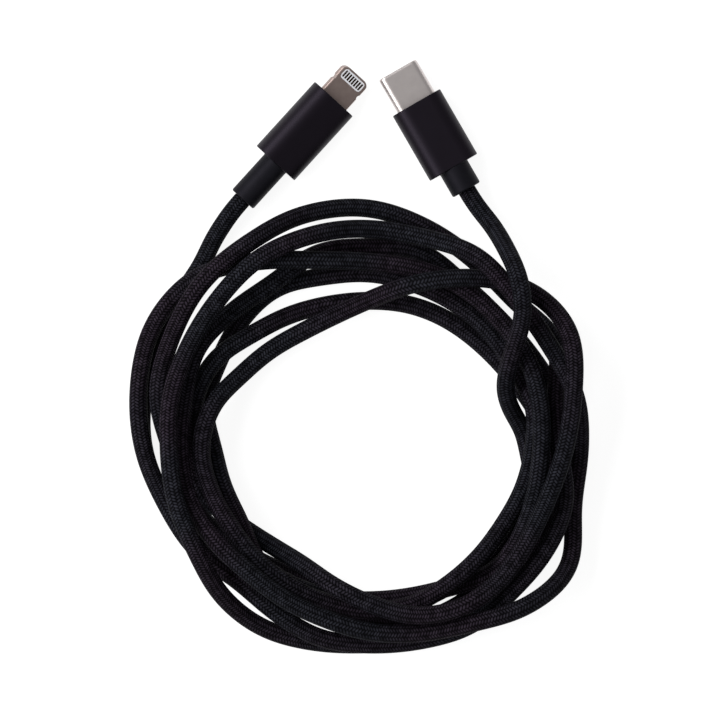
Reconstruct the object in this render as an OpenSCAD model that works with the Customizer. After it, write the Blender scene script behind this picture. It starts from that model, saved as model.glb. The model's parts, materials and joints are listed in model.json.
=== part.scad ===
// Charging cable: a slim tab plug, an oval shell plug, and one braided cord laid in a loose coil.
// Millimetres, +Z up. Both plugs and the cord rest on the plane z = 0.

/* [Cord] */
// Diameter of the cord over its braid
cord_d = 3.5; // [3.3:0.1:3.6]
// Space kept between turns where they cross
turn_gap = 0.7; // [0.6:0.1:0.8]
// Steepest climb of a turn over the one below it
climb = 0.6; // [0.5:0.05:0.7]
// Diameter of one insulated core inside the cord
core_d = 0.8; // [0.6:0.1:0.9]

/* [Tab plug] */
// Housing length
tab_body_l = 16.7; // [15:0.1:20]
// Housing width
tab_body_w = 10; // [9.6:0.1:11]
// Housing thickness
tab_body_t = 6.4; // [6:0.1:7.5]
// Radius of the housing's long edges
tab_body_r = 3; // [2.5:0.1:3]
// Tab width
tab_w = 6.7; // [6.5:0.1:6.9]
// Tab thickness
tab_t = 1.5; // [1.4:0.1:1.6]
// Tab length outside the housing
tab_out_l = 6.5; // [6:0.1:8]
// Angle that the housing leans over as it lies
tab_lean = 22; // [0:1:30]
// Strain sleeve diameter
tab_sleeve_d = 5.5; // [5:0.1:6]
// Strain sleeve length
tab_sleeve_l = 9.4; // [8:0.1:12]

/* [Oval plug] */
// Housing length
oval_body_l = 14.4; // [13.5:0.1:18]
// Housing width
oval_body_w = 10.5; // [10.4:0.1:12]
// Housing thickness
oval_body_t = 6.2; // [6:0.1:7.5]
// Radius of the housing's long edges
oval_body_r = 2.9; // [2.4:0.1:2.9]
// Shell width
shell_w = 8.25; // [8.2:0.05:8.35]
// Shell thickness
shell_t = 2.4; // [2.35:0.05:2.5]
// Shell wall
shell_wall = 0.3; // [0.25:0.05:0.3]
// Shell length outside the housing
shell_out_l = 7.3; // [6.6:0.1:8]
// Angle that the housing leans over as it lies
oval_lean = 5; // [0:1:30]
// Strain sleeve diameter
oval_sleeve_d = 6; // [5.5:0.1:6]
// Strain sleeve length
oval_sleeve_l = 5; // [4.5:0.1:8]

/* [Walls and fits] */
// Wall of both housings
body_wall = 0.8; // [0.7:0.05:0.8]
// Clearance between pieces that slide together
fit = 0.05; // [0.03:0.01:0.06]
// Thickness of both circuit boards
board_t = 0.6; // [0.5:0.1:0.6]
// Wall of both shield cans
can_wall = 0.15; // [0.1:0.05:0.2]

/* [Hidden] */
$fn = 48;
eps = 0.01;

// How much wider the tab's root is than the tab
root_side = 0.3;

// Where the plugs lie: middle of the housing's rear face, and heading of the plug's axis
tab_at = [-15.5, -5.7];
tab_heading = 47.7;
oval_at = [18.8, -6.5];
oval_heading = 120;

// Height of a leaning housing's axis when its lower long edge touches the plane
function rest_height(w, t, r, lean) = r + (w / 2 - r) * abs(sin(lean)) + (t / 2 - r) * cos(lean);
// A housing is never narrower than the can inside it needs, and its edge radius never over half its thickness
tab_case_w = max(tab_body_w, tab_w + root_side + 2 * (fit + can_wall + body_wall) + 0.6);
tab_case_r = min(tab_body_r, tab_body_t / 2 - 0.1);
oval_case_w = max(oval_body_w, shell_w + 2 * (fit + can_wall + body_wall) + 0.1);
oval_case_r = min(oval_body_r, oval_body_t / 2 - 0.1);
tab_z = rest_height(tab_case_w, tab_body_t, tab_case_r, tab_lean);
oval_z = rest_height(oval_case_w, oval_body_t, oval_case_r, oval_lean);

// A plug's own frame: x = 0 at the housing's rear face and + toward the tip, y across, z through
module place_tab() {
    translate([tab_at.x, tab_at.y, tab_z]) rotate([0, 0, tab_heading]) rotate([tab_lean, 0, 0]) children();
}
module place_oval() {
    translate([oval_at.x, oval_at.y, oval_z]) rotate([0, 0, oval_heading]) rotate([oval_lean, 0, 0])
        children();
}

// ---- Shapes shared by both plugs ----

// Rectangle w by h with corner radius r, centred
module rounded(w, h, r) {
    square([w - 2 * r, h], center = true);
    if (h > 2 * r) square([w, h - 2 * r], center = true);
    for (sx = [-1, 1], sy = [-1, 1])
        translate([sx * (w / 2 - r), sy * (h / 2 - r)]) circle(r);
}
// Bar of rounded section, from x0 to x1
module bar(x0, x1, w, h, r) {
    translate([x0, 0, 0]) rotate([90, 0, 90]) linear_extrude(x1 - x0) rounded(w, h, r);
}
// Box from corner a to corner b
module box(a, b) {
    translate(a) cube(b - a);
}
// Plate of w across, from x0 to x1 and z0 to z1, its four upright edges rounded
module plate(x0, x1, w, z0, z1, r) {
    translate([(x0 + x1) / 2, 0, z0]) linear_extrude(z1 - z0) rounded(x1 - x0, w, r);
}
// Round rod along x
module rod(x0, x1, d) {
    translate([x0, 0, 0]) rotate([0, 90, 0]) cylinder(h = x1 - x0, d = d);
}

cap_t = 1.6;
crimp_from = 2.2;
crimp_l = 2;
crimp_wall = 0.55;
cord_in = 4.6;
board_from = 6.6;
wires_to = board_from + 1.4;
mould_to = 6.2;
wire_at = core_d / 2 + board_t / 2;

// Outer housing: a tube with a front wall, its rear open for the sleeve's cap
module housing(l, w, t, r) {
    cw = w - 2 * body_wall;
    ct = t - 2 * body_wall;
    difference() {
        bar(0, l, w, t, r);
        bar(-1, l - body_wall, cw, ct, r - body_wall);
        bar(l - 2, l + 1, $mouth_w + 2 * fit, $mouth_t + 2 * fit, $mouth_r + fit);
    }
}
// Strain sleeve with the cap that closes the housing
module sleeve(l, d, w, t, r) {
    difference() {
        union() {
            bar(0, cap_t, w - 2 * body_wall - 2 * fit, t - 2 * body_wall - 2 * fit, r - body_wall - fit);
            rod(-l + 0.3, 0.2, d);
            translate([-l, 0, 0]) rotate([0, 90, 0]) cylinder(h = 0.3, d1 = d - 0.6, d2 = d);
        }
        rod(-l - 1, cap_t + 1, cord_d + 2 * fit);
    }
}
module cord_stub(l) {
    rod(-l, cord_in, cord_d);
}
// Ring crimped on the braid, with its flared rear lip
module crimp() {
    difference() {
        union() {
            rod(crimp_from, crimp_from + crimp_l, cord_d + 2 * crimp_wall);
            rod(crimp_from, crimp_from + 0.4, cord_d + 2 * crimp_wall + 0.4);
        }
        rod(crimp_from - 1, crimp_from + crimp_l + 1, cord_d + 2 * fit);
    }
}
// Four cores, two on each face of the board
module cores() {
    for (sy = [-1, 1], sz = [-1, 1])
        translate([0, sy * 0.9, sz * wire_at]) rod(cord_in, wires_to, core_d);
}
// Hard moulding behind the can: it holds the crimp ring and the cord, and lets the cores through
module mould(w, t, r) {
    difference() {
        bar(cap_t + fit, mould_to, w - 2 * body_wall - 2 * fit, t - 2 * body_wall - 2 * fit,
            r - body_wall - fit);
        rod(0, crimp_from + crimp_l + fit, cord_d + 2 * crimp_wall + 0.4 + 2 * fit);
        rod(0, cord_in + fit, cord_d + 2 * fit);
        box([cord_in - 1, -0.9 - core_d / 2 - fit, -wire_at - core_d / 2 - fit],
            [mould_to + 1, 0.9 + core_d / 2 + fit, wire_at + core_d / 2 + fit]);
    }
}

// ---- Tab plug ----

root_l = 2.5;
root_w = tab_w + root_side;
root_t = 2.4;
tab_front = tab_body_l - body_wall;
root_from = tab_front - root_l;
tab_tip = tab_body_l + tab_out_l;
tab_tip_r = 1.5;
// Window for the contacts, counted back from the tip
window_back = 2.5;
window_front = 0.4;
window_w = 5.2;
window_r = 0.6;
channel_t = 1.0;
pad_pitch = 0.6;
pad_w = 0.38;
pad_l = 1.5;
pad_mid = 1.45;
pads = 8;
notch_r = 0.55;
notch_at = 3.2;
tail_t = 0.12;
tail_l = 1.2;
tab_board_w = root_w - 1.2;
// Free stretch of the board between the cores and the contact tails
free_from = wires_to + 0.4;
free_to = root_from - tail_l - 0.4;
chip_l = min(2.4, free_to - free_from);
passive_pitch = (free_to - free_from + 0.4) / 4;

module tab_blade() {
    intersection() {
        linear_extrude(2 * tab_t, center = true) {
            translate([root_from, -tab_w / 2]) square([tab_tip - tab_tip_r - root_from, tab_w]);
            translate([tab_tip - 2 * tab_tip_r, -tab_w / 2 + tab_tip_r])
                square([2 * tab_tip_r, tab_w - 2 * tab_tip_r]);
            for (s = [-1, 1])
                translate([tab_tip - tab_tip_r, s * (tab_w / 2 - tab_tip_r)]) circle(tab_tip_r);
        }
        bar(root_from, tab_tip + 1, tab_w, tab_t, 0.5);
    }
}
module tab_window() {
    plate(tab_tip - window_back, tab_tip - window_front, window_w, -tab_t, tab_t, window_r);
    box([root_from - 1, -window_w / 2, -channel_t / 2],
        [tab_tip - window_back + 1, window_w / 2, channel_t / 2]);
}
module tab_frame() {
    color("silver") difference() {
        union() {
            tab_blade();
            bar(root_from, tab_front, root_w, root_t, 0.3);
        }
        tab_window();
        for (s = [-1, 1])
            translate([tab_tip - notch_at, s * (tab_w / 2 + 0.15), -tab_t])
                cylinder(h = 2 * tab_t, r = notch_r);
    }
}
module tab_contact_set() {
    for (i = [0 : pads - 1], s = [0, 1])
        translate([0, (i - (pads - 1) / 2) * pad_pitch, 0]) mirror([0, 0, s]) {
        box([tab_tip - pad_mid - pad_l / 2, -pad_w / 2, tab_t / 2 - 0.2],
            [tab_tip - pad_mid + pad_l / 2, pad_w / 2, tab_t / 2]);
        box([tab_tip - pad_mid - pad_l / 2, -pad_w / 2, board_t / 2],
            [tab_tip - pad_mid - pad_l / 2 + 0.25, pad_w / 2, tab_t / 2 - 0.1]);
        box([root_from - tail_l, -pad_w / 2, board_t / 2],
            [tab_tip - pad_mid - pad_l / 2 + 0.1, pad_w / 2, board_t / 2 + tail_t]);
    }
}
module tab_contacts() {
    color("gold") tab_contact_set();
}
module tab_insulator() {
    color("white") difference() {
        union() {
            plate(tab_tip - window_back, tab_tip - window_front, window_w, -tab_t / 2, tab_t / 2, window_r);
            box([root_from, -window_w / 2, -channel_t / 2],
                [tab_tip - window_back + 0.7, window_w / 2, channel_t / 2]);
        }
        tab_contact_set();
    }
}
module tab_circuit_board() {
    color("green") difference() {
        box([board_from, -tab_board_w / 2, -board_t / 2], [root_from - fit, tab_board_w / 2, board_t / 2]);
        for (s = [-1, 1]) translate([board_from + 2.2, s * tab_board_w / 2, -1]) cylinder(h = 2, d = 0.8);
    }
}
module tab_control_chip() {
    color("dimgray") translate([(free_from + free_to - chip_l) / 2, 0, board_t / 2]) {
        box([0, -1.3, 0.1], [chip_l, 1.1, 0.8]);
        for (i = [0 : 3], y = [-1.55, 1.1])
            box([(0.08 + 0.23 * i) * chip_l, y, 0], [(0.18 + 0.23 * i) * chip_l, y + 0.25, 0.3]);
    }
}
module tab_passives() {
    color("tan") for (i = [0 : 3]) translate([free_from + passive_pitch * i, 0, 0])
        box([0, -0.3, -board_t / 2 - 0.35], [0.55 * passive_pitch, 0.7, -board_t / 2]);
}
can_lap = 1;
tab_can_from = mould_to + fit;
module tab_shield_can() {
    color("lightgray") difference() {
        bar(tab_can_from, root_from + can_lap, root_w + 2 * fit + 2 * can_wall, root_t + 2 * fit + 2 * can_wall,
            0.3 + fit + can_wall);
        bar(tab_can_from - 1, root_from + can_lap + 1, root_w + 2 * fit, root_t + 2 * fit, 0.3 + fit);
    }
}
module tab_inner_mould() {
    color("ivory") mould(tab_case_w, tab_body_t, tab_case_r);
}
module tab_crimp_ring() {
    color("gray") crimp();
}
module tab_wires() {
    color("firebrick") cores();
}
module tab_cord_end() {
    color("black") cord_stub(tab_sleeve_l);
}
module tab_plug_housing() {
    $mouth_w = tab_w;
    $mouth_t = tab_t;
    $mouth_r = 0.5;
    color("black") housing(tab_body_l, tab_case_w, tab_body_t, tab_case_r);
}
module tab_strain_sleeve() {
    color("#32323a") sleeve(tab_sleeve_l, tab_sleeve_d, tab_case_w, tab_body_t, tab_case_r);
}

// ---- Oval plug ----

shell_from = oval_body_l - 3.8;
shell_tip = oval_body_l + shell_out_l;
shell_in_w = shell_w - 2 * shell_wall;
shell_in_t = shell_t - 2 * shell_wall;
lip = 0.12;
ins_from = oval_body_l - 3.2;
ins_tip = shell_tip - 0.6;
ins_w = shell_in_w - 2 * fit;
ins_t = shell_in_t - 2 * fit;
slot_w = shell_in_w - 0.75;
slot_t = 0.86;
slot_deep = 5.6;
pin_pitch = 0.5;
pin_w = 0.25;
pin_t = 0.12;
upper_pins = [1, 4, 5, 6, 7, 9, 12];
lower_pins = [1, 4, 9, 12];
oval_board_to = oval_body_l - 2.2;
oval_board_w = shell_w - 1.25;
ground_w = shell_in_w - shell_in_t - 0.45;
pin_tail = 1.2;
pin_bump_at = ins_tip - 1.2;
arm_w = 0.2;
arm_t = 0.7;

module oval_shell() {
    color("silver") difference() {
        union() {
            bar(shell_from, shell_tip - lip, shell_w, shell_t, shell_t / 2);
            bar(shell_tip - 0.5, shell_tip, shell_w - 2 * lip, shell_t - 2 * lip, shell_t / 2 - lip);
        }
        bar(shell_from - 1, shell_tip + 1, shell_in_w, shell_in_t, shell_in_t / 2);
    }
}
// One contact spring on the upper side, seen in the x-z plane
module pin_profile() {
    polygon([[oval_board_to - pin_tail, board_t / 2], [oval_board_to + 0.2, board_t / 2],
        [oval_board_to + 0.5, slot_t / 2 + 0.06], [pin_bump_at - 0.9, slot_t / 2 + 0.02],
        [pin_bump_at, slot_t / 2 - 0.16], [pin_bump_at + 0.5, slot_t / 2 + 0.02],
        [pin_bump_at + 0.5, slot_t / 2 + 0.02 + pin_t], [pin_bump_at, slot_t / 2 - 0.16 + pin_t],
        [pin_bump_at - 0.9, slot_t / 2 + 0.02 + pin_t], [oval_board_to + 0.5, slot_t / 2 + 0.06 + pin_t],
        [oval_board_to + 0.2, board_t / 2 + pin_t], [oval_board_to - pin_tail, board_t / 2 + pin_t]]);
}
module pin_row(at) {
    for (i = at) translate([0, (i - 6.5) * pin_pitch + pin_w / 2, 0])
        rotate([90, 0, 0]) linear_extrude(pin_w) pin_profile();
}
module pin_grooves(at) {
    for (i = at)
        box([ins_from - 1, (i - 6.5) * pin_pitch - pin_w / 2 - fit, 0.2],
            [pin_bump_at + 0.6, (i - 6.5) * pin_pitch + pin_w / 2 + fit, slot_t / 2 + 0.06 + pin_t + fit]);
}
module oval_contacts_upper() {
    color("gold") pin_row(upper_pins);
}
module oval_contacts_lower() {
    color("gold") mirror([0, 0, 1]) pin_row(lower_pins);
}
arm_y = slot_w / 2 - 0.05;
latch_from = oval_board_to + fit;
module oval_latch_springs() {
    color("gainsboro") {
        box([latch_from, -arm_y - arm_w, -0.1], [latch_from + 0.9, arm_y + arm_w, 0.1]);
        for (s = [0, 1]) mirror([0, s, 0]) {
            box([latch_from, arm_y, -arm_t / 2], [ins_tip - 0.8, arm_y + arm_w, arm_t / 2]);
            translate([0, 0, -arm_t / 2]) linear_extrude(arm_t)
                polygon([[ins_tip - 2.2, arm_y + arm_w], [ins_tip - 1.6, arm_y - 0.25],
                    [ins_tip - 1.4, arm_y - 0.25], [ins_tip - 0.8, arm_y + arm_w]]);
        }
    }
}
module oval_ground_plates(grow) {
    for (s = [0, 1]) mirror([0, 0, s]) {
        box([ins_tip - 2.4 - grow, -ground_w / 2 - grow, shell_in_t / 2 - 0.12 - grow],
            [ins_tip - 0.7 + grow, ground_w / 2 + grow, shell_in_t / 2]);
        for (y = [-0.35, 0, 0.35] * ground_w)
            box([ins_tip - 1.5 - grow, y - 0.3 - grow, slot_t / 2 - 0.1],
                [ins_tip - 1.1 + grow, y + 0.3 + grow, shell_in_t / 2 - 0.1]);
    }
}
module oval_insulator() {
    color("#222226") difference() {
        bar(ins_from, ins_tip, ins_w, ins_t, ins_t / 2 - 0.01);
        box([ins_tip - slot_deep, -slot_w / 2, -slot_t / 2], [ins_tip + 1, slot_w / 2, slot_t / 2]);
        box([ins_from - 1, -oval_board_w / 2 - 0.15, -board_t / 2 - fit],
            [latch_from + 1, oval_board_w / 2 + 0.15, board_t / 2 + fit]);
        pin_grooves(upper_pins);
        mirror([0, 0, 1]) pin_grooves(lower_pins);
        for (s = [0, 1]) mirror([0, s, 0])
            box([latch_from - 1, arm_y - 0.3, -arm_t / 2 - fit],
                [ins_tip - 0.7, arm_y + arm_w + fit, arm_t / 2 + fit]);
        oval_ground_plates(fit);
    }
}
module oval_ground_springs() {
    color("gainsboro") oval_ground_plates(0);
}
module oval_circuit_board() {
    color("green") difference() {
        box([board_from, -oval_board_w / 2, -board_t / 2], [oval_board_to, oval_board_w / 2, board_t / 2]);
        for (s = [-1, 1]) translate([board_from + 1.8, s * oval_board_w / 2, -1]) cylinder(h = 2, d = 0.8);
    }
}
module oval_resistor() {
    color("black") translate([(wires_to + oval_board_to - pin_tail) / 2, oval_board_w / 4, board_t / 2])
        box([-0.25, -0.4, 0], [0.25, 0.6, 0.35]);
}
oval_can_w = shell_w + 2 * fit;
oval_can_t = shell_t + 2 * fit;
module oval_shield_can() {
    color("lightgray") difference() {
        bar(mould_to + fit, shell_from + can_lap, oval_can_w + 2 * can_wall, oval_can_t + 2 * can_wall,
            oval_can_t / 2 + can_wall - 0.01);
        bar(mould_to - 1, shell_from + can_lap + 1, oval_can_w, oval_can_t, oval_can_t / 2 - 0.01);
    }
}
module oval_inner_mould() {
    color("ivory") mould(oval_case_w, oval_body_t, oval_case_r);
}
module oval_crimp_ring() {
    color("gray") crimp();
}
module oval_wires() {
    color("firebrick") cores();
}
module oval_cord_end() {
    color("black") cord_stub(oval_sleeve_l);
}
module oval_plug_housing() {
    $mouth_w = shell_w;
    $mouth_t = shell_t;
    $mouth_r = shell_t / 2;
    color("black") housing(oval_body_l, oval_case_w, oval_body_t, oval_case_r);
}
module oval_strain_sleeve() {
    color("#32323a") sleeve(oval_sleeve_l, oval_sleeve_d, oval_case_w, oval_body_t, oval_case_r);
}

// ---- Cord ----

function unit(v) = v / norm(v);

// Rings of a tube of n sides along a path; each ring is square to the mean of its two chords
function heading(p, i) = unit((i > 0 ? unit(p[i] - p[i - 1]) : [0, 0, 0])
    + (i < len(p) - 1 ? unit(p[i + 1] - p[i]) : [0, 0, 0]));
function ring(c, t, n) = let (s = unit(cross(t, [0, 0, 1])), u = cross(s, t))
    [for (k = [0 : n - 1]) c + cord_d / 2 * (sin(k * 360 / n) * s + cos(k * 360 / n) * u)];
module tube(p, n) {
    m = len(p);
    points = [for (i = [0 : m - 1]) each ring(p[i], heading(p, i), n)];
    sides = [for (i = [0 : m - 2], k = [0 : n - 1], h = [0, 1])
        let (a = i * n + k, b = i * n + (k + 1) % n) h == 0 ? [a, b, b + n] : [a, b + n, a + n]];
    ends = [for (k = [1 : n - 2], h = [0, 1])
        h == 0 ? [0, k + 1, k] : [(m - 1) * n, (m - 1) * n + k, (m - 1) * n + k + 1]];
    polyhedron(points = points, faces = concat(sides, ends), convexity = 12);
}

// The coil is laid by hand: its radius at every 15 degrees, clockwise from 12 o'clock, turn by turn
coil_at = [2.6, -60.8];
steps = 24;
coil_first = 6;
coil_last = 189;
TURNS = [
    [0, 0, 0, 0, 0, 0, 30.4, 32.8, 31.5, 30, 30.5, 30.5, 30, 29, 28.5, 30.2, 33.5, 36, 38.2, 42.2, 43.8,
        45.5, 46, 47],
    [46.5, 44, 41.5, 40, 41.5, 37, 36.5, 39, 39, 38.5, 39, 38, 37.5, 37.5, 36.15, 35.65, 38.5, 40.5, 43.5,
        46, 48, 47, 41.9, 37.7],
    [36.1, 36, 36, 35.35, 35, 34, 33, 33, 33.5, 33.5, 30.6, 29.3, 29, 29.5, 30, 30.5, 28.5, 29, 30, 33,
        33.6, 35.1, 36, 34.5],
    [34, 33.1, 32.7, 32.5, 32, 32.8, 31.5, 30.5, 29.5, 29.5, 30, 31, 31, 30.5, 30.5, 30.5, 30.5, 31.5, 32.5,
        31.5, 28.6, 27.1, 26.1, 26.6],
    [28.8, 33, 38.2, 43.41, 44.5, 40.5, 37.5, 35.5, 35, 35.5, 35, 33, 29.5, 27, 25.5, 26.3, 28.9, 33, 34,
        35, 34.5, 31.6, 30.1, 29],
    [28.7, 29, 29.2, 29.5, 30.5, 32.6, 35.5, 35.5, 37, 38.5, 38.5, 38, 37.5, 38.5, 39.94, 39.91, 38.5, 38.5,
        38.5, 39.5, 40, 41, 42.5, 42.7],
    [42.5, 42.1, 42.5, 40.4, 40, 41, 40.5, 40.5, 44.5, 42.5, 38.5, 36.5, 35, 33.5, 33, 33, 34.5, 36, 36.5,
        37, 38.5, 37.5, 37, 39.2],
    [39, 39.4, 36.5, 35.5, 36, 37.5, 38.5, 38, 36.5, 34.5, 34.5, 34.5, 33.5, 33, 32.7, 35, 38, 40.5, 43.5,
        45, 46.5, 47.5, 0, 0]];
// Which turn lies over which, at the same angles: turn numbers from the lowest up
PILE = ["6842357", "6842357", "6842357", "6842357", "6842375", "6842375",
    "18672435", "18672435", "18672435", "18634275", "16834275", "16834275",
    "16834275", "16834275", "18346275", "15834267", "18534276", "18534276",
    "81354726", "83547216", "83547216", "83547216", "3547216", "5372146"];

function station(k) = let (r = TURNS[floor(k / steps)][k % steps], a = 360 / steps * k)
    [coil_at.x + r * sin(a), coil_at.y + r * cos(a)];
function level(k) = search(str(floor(k / steps) + 1), PILE[k % steps])[0];

// Along chord b, the place nearest to point p: [distance, chord, share of the chord]
function foot(q, p, b) = let (e = q[b + 1] - q[b], u = min(1, max(0, (p - q[b]) * e / (e * e))))
    [norm(p - q[b] - u * e), b, u];
function nearer(a, b) = a[0] <= b[0] ? a : b;
function nearest(q, p, b, n) = nearer(foot(q, p, max(0, min(n, b))),
    nearer(foot(q, p, max(0, min(n, b - 1))), foot(q, p, max(0, min(n, b + 1)))));
// What station k rests on: [chord, share, height above it], for each lower turn near it
function rests(q, v, k, reach) = let (m = len(q)) [
    for (s = [-0.5, -0.25, 0, 0.25, 0.5])
        let (a = s < 0 ? k - 1 : k, t = s < 0 ? 1 + s : s)
        if (a >= 0 && a < m - 1)
            let (p = q[a] * (1 - t) + q[a + 1] * t, w = v[a] * (1 - t) + v[a + 1] * t)
            for (turn = [-7 : 7])
                let (b = a + steps * turn)
                if (turn != 0 && b > -2 && b < m)
                    let (f = nearest(q, p, b, m - 2))
                    if (f[0] < reach && w - v[f[1]] * (1 - f[2]) - v[f[1] + 1] * f[2] >= 0.75)
                        [f[1], f[2], sqrt(reach * reach - f[0] * f[0])]];
function rise(z, list) = max([for (f = list) z[f[0]] * (1 - f[1]) + z[f[0] + 1] * f[1] + f[2]]);
function onward(z, drop, k, last) = k >= len(z) ? [] :
    let (h = max(z[k], last - drop[k])) concat([h], onward(z, drop, k + 1, h));
function backward(z) = [for (i = [len(z) - 1 : -1 : 0]) z[i]];
// One round of settling: up onto the turns below, then no slope steeper than the climb
function settle_once(z, on, drop) = let (
    up = [for (k = [0 : len(z) - 1]) len(on[k]) > 0 ? max(z[k], rise(z, on[k])) : z[k]],
    fore = onward(up, concat([0], drop), 0, 0))
    backward(onward(backward(fore), concat([0], backward(drop)), 0, 0));
function settle(z, on, drop, rounds) = rounds == 0 ? z : settle(settle_once(z, on, drop), on, drop, rounds - 1);
function coil_path() = let (
    q = [for (k = [coil_first : coil_last]) station(k)],
    v = [for (k = [coil_first : coil_last]) level(k)],
    on = [for (k = [0 : len(q) - 1]) rests(q, v, k, cord_d + turn_gap)],
    drop = [for (k = [1 : len(q) - 1]) climb * norm(q[k] - q[k - 1])],
    z = settle([for (p = q) cord_d / 2], on, drop, 14))
    [for (k = [0 : len(q) - 1]) [q[k].x, q[k].y, z[k]]];
// Least free space between turns, measured at the stations and three places along each chord
function least_gap(p) = min([for (i = [0 : len(p) - 2], t = [0, 0.25, 0.5, 0.75])
    let (c = p[i] * (1 - t) + p[i + 1] * t)
        for (j = [0 : 1 : i - steps / 2]) if (norm(p[j] - c) < 4 * cord_d) foot(p, c, j)[0]]) - cord_d;
function run(p) = len(p) < 2 ? 0 : norm(p[1] - p[0]) + run([for (i = [1 : len(p) - 1]) p[i]]);

module coil() {
    path = coil_path();
    echo(coil_least_gap = least_gap(path), coil_height = max([for (c = path) c.z]) + cord_d / 2,
        coil_rings = len(path));
    color("#231e26") tube(path, 6);
}

// Free stretches: the sleeve's mouth, points laid by hand, then the coil's own end
coil_start = [station(coil_first).x, station(coil_first).y, cord_d / 2];
coil_end = [station(coil_last).x, station(coil_last).y, cord_d / 2];
start_way = unit(concat(station(coil_first + 1) - station(coil_first), [0]));
end_way = unit(concat(station(coil_last) - station(coil_last - 1), [0]));
function mouth(at, z, heading, back) = [at.x - back * cos(heading), at.y - back * sin(heading), z];

oval_lead_points = [[25.75, -17, 5], [27.75, -20.2, 8.9], [29.5, -23.6, 13.6], [31.05, -27.2, 17.2],
    [31.9, -31, 18.8], [32.1, -34.5, 18.4], [31.4, -38, 16.8], [30.2, -41.5, 14.6], [29.2, -45, 12.4],
    [28.5, -48.5, 9.9], [29.2, -51.7, 6.7], [30.7, -54.7, 3.3]];
tab_lead_points = [[-25.65, -17.6, 3.4], [-28, -21.2, 2.5]];
oval_lead_path = concat([mouth(oval_at, oval_z, oval_heading, oval_sleeve_l),
    mouth(oval_at, oval_z, oval_heading, oval_sleeve_l + cord_d)], oval_lead_points,
    [coil_start - cord_d * start_way, coil_start]);
tab_lead_path = concat([mouth(tab_at, tab_z, tab_heading, tab_sleeve_l),
    mouth(tab_at, tab_z, tab_heading, tab_sleeve_l + cord_d)], tab_lead_points,
    [coil_end + cord_d * end_way, coil_end]);

module tab_lead() {
    color("#231e26") tube(tab_lead_path, 8);
}
module oval_lead() {
    color("#231e26") tube(oval_lead_path, 8);
}

place_tab() tab_frame();
place_tab() tab_insulator();
place_tab() tab_contacts();
place_tab() tab_circuit_board();
place_tab() tab_control_chip();
place_tab() tab_passives();
place_tab() tab_shield_can();
place_tab() tab_inner_mould();
place_tab() tab_crimp_ring();
place_tab() tab_wires();
place_tab() tab_cord_end();
place_tab() tab_plug_housing();
place_tab() tab_strain_sleeve();
place_oval() oval_shell();
place_oval() oval_insulator();
place_oval() oval_contacts_upper();
place_oval() oval_contacts_lower();
place_oval() oval_latch_springs();
place_oval() oval_ground_springs();
place_oval() oval_circuit_board();
place_oval() oval_resistor();
place_oval() oval_shield_can();
place_oval() oval_inner_mould();
place_oval() oval_crimp_ring();
place_oval() oval_wires();
place_oval() oval_cord_end();
place_oval() oval_plug_housing();
place_oval() oval_strain_sleeve();
tab_lead();
coil();
oval_lead();
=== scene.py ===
# %% [markdown]
# # Charging cable
#
# A braided charging cable lies in a loose coil, wound by hand and put down. One end carries a slim tab plug
# with eight gold contacts, the other an oval plug with a drawn metal shell.
#
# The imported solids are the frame, and most of them stay as they are. This script makes again what a plain
# solid leaves out: the cord as one round tube with its braid, the two housings and their sleeves with soft
# edges, and the oval shell with its rolled lip. Lengths are typed in millimetres and multiplied by `MM`
# where a mesh is made.

# %% Load the frame
import json
import math

import bmesh
import bpy
import numpy as np
from mathutils import Matrix, Vector


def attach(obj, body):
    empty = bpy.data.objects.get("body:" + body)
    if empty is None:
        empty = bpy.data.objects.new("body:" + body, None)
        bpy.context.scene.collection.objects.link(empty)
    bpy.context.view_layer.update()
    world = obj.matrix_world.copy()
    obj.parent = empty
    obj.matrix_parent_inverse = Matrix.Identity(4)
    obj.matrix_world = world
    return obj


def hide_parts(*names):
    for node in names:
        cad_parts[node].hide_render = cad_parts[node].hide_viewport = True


MM = 0.001
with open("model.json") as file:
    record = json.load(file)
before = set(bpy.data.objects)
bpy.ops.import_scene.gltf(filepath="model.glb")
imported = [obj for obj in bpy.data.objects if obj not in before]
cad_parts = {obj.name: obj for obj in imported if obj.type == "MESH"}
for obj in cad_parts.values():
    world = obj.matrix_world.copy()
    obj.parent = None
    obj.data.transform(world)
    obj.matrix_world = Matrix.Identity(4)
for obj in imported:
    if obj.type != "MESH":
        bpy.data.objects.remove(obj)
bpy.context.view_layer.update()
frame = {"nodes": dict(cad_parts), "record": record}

# %% [markdown]
# ## Camera
#
# The cable is seen from straight above, as small goods on a table usually are. A camera close by would draw
# the top of the pile larger than its foot. This one stands 3 m up behind a long lens, which keeps the two
# within one part in a hundred. Its lens follows from the width that the view spans at the height of the
# plugs, so that the scale is a length on the object and not a guess.

# %% Camera
VIEW_POINTS = 720
POINTS_PER_MM = 5.2
PLUG_UP = 5.0
CAMERA_UP = 3000.0
VIEW_MID = (0.77, -43.56)
SIGHT_M = 20
spanned = VIEW_POINTS / POINTS_PER_MM
camera_data = bpy.data.cameras.new("camera")
camera_data.lens = camera_data.sensor_width * (CAMERA_UP - PLUG_UP) / spanned
camera_data.clip_end = SIGHT_M
camera = bpy.data.objects.new("camera", camera_data)
camera.location = (VIEW_MID[0] * MM, VIEW_MID[1] * MM, CAMERA_UP * MM)
bpy.context.collection.objects.link(camera)
bpy.context.scene.camera = camera
bpy.context.scene.view_settings.view_transform = "Standard"
print("lens", round(camera_data.lens), "mm, spanning", round(spanned, 1), "mm at the plugs")

# %% [markdown]
# ## The coil in plan
#
# The coil is one cord laid round by hand, so its turns wander in and out and cross each other. A helix
# would be too even, and a free curve would need three numbers where one will do. Here each turn is a row of
# radii, one for every 15 degrees, clockwise from 12 o'clock, and the whole plan follows from them. The
# first and last turn are part turns: a 0 stands where the cord has left the coil. `PILE` tells at the same
# angles which turn lies over which, by their numbers from the lowest up.

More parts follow.
